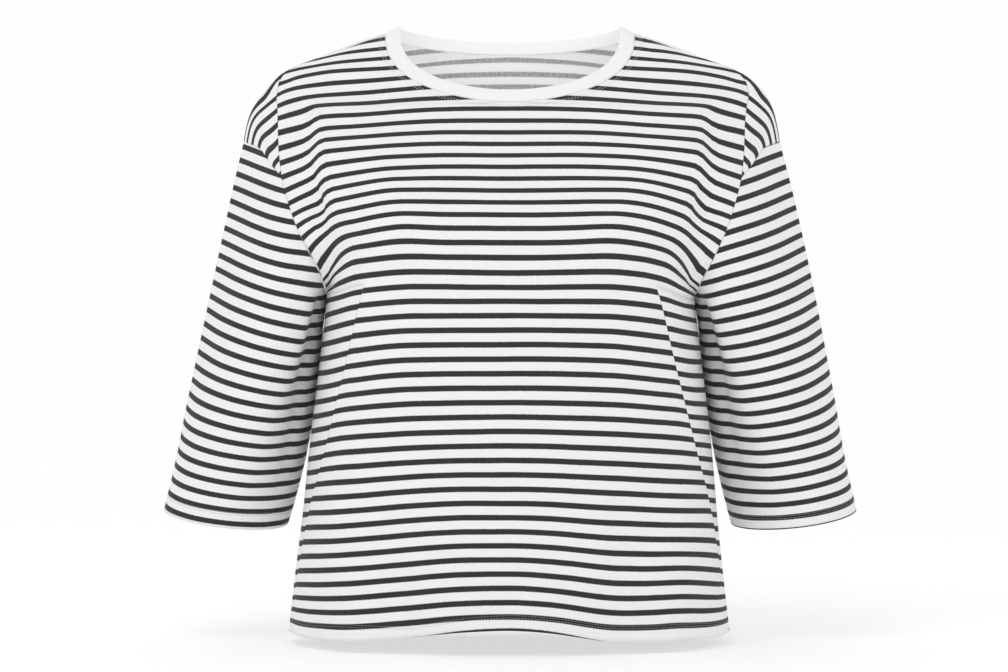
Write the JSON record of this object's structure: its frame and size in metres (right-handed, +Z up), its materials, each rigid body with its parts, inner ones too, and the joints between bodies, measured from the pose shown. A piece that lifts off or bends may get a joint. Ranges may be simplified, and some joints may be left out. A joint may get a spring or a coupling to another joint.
{
  "type": "t-shirt",
  "caption": "Striped three-quarter sleeve T-shirt with a crew neckband and a curved hem, filled out as if worn, with open neck, sleeves and hem.",
  "frame": {"origin": "midway between the two neck points of the shoulder line, where a wearer's shoulders carry the shirt", "axes": "+X towards the wearer's left, -Y out of the front, +Z up"},
  "size_m": [0.702, 0.256, 0.6071],
  "materials": {
    "striped_jersey": "white cotton jersey with black yarn-dyed cross stripes, matt",
    "rib": "white cotton jersey band, matt"
  },
  "bodies": {
    "root": {"front": "striped_jersey", "back": "striped_jersey", "sleeve_left": "striped_jersey", "sleeve_right": "striped_jersey", "neckband": "rib"}
  },
  "joints": []
}
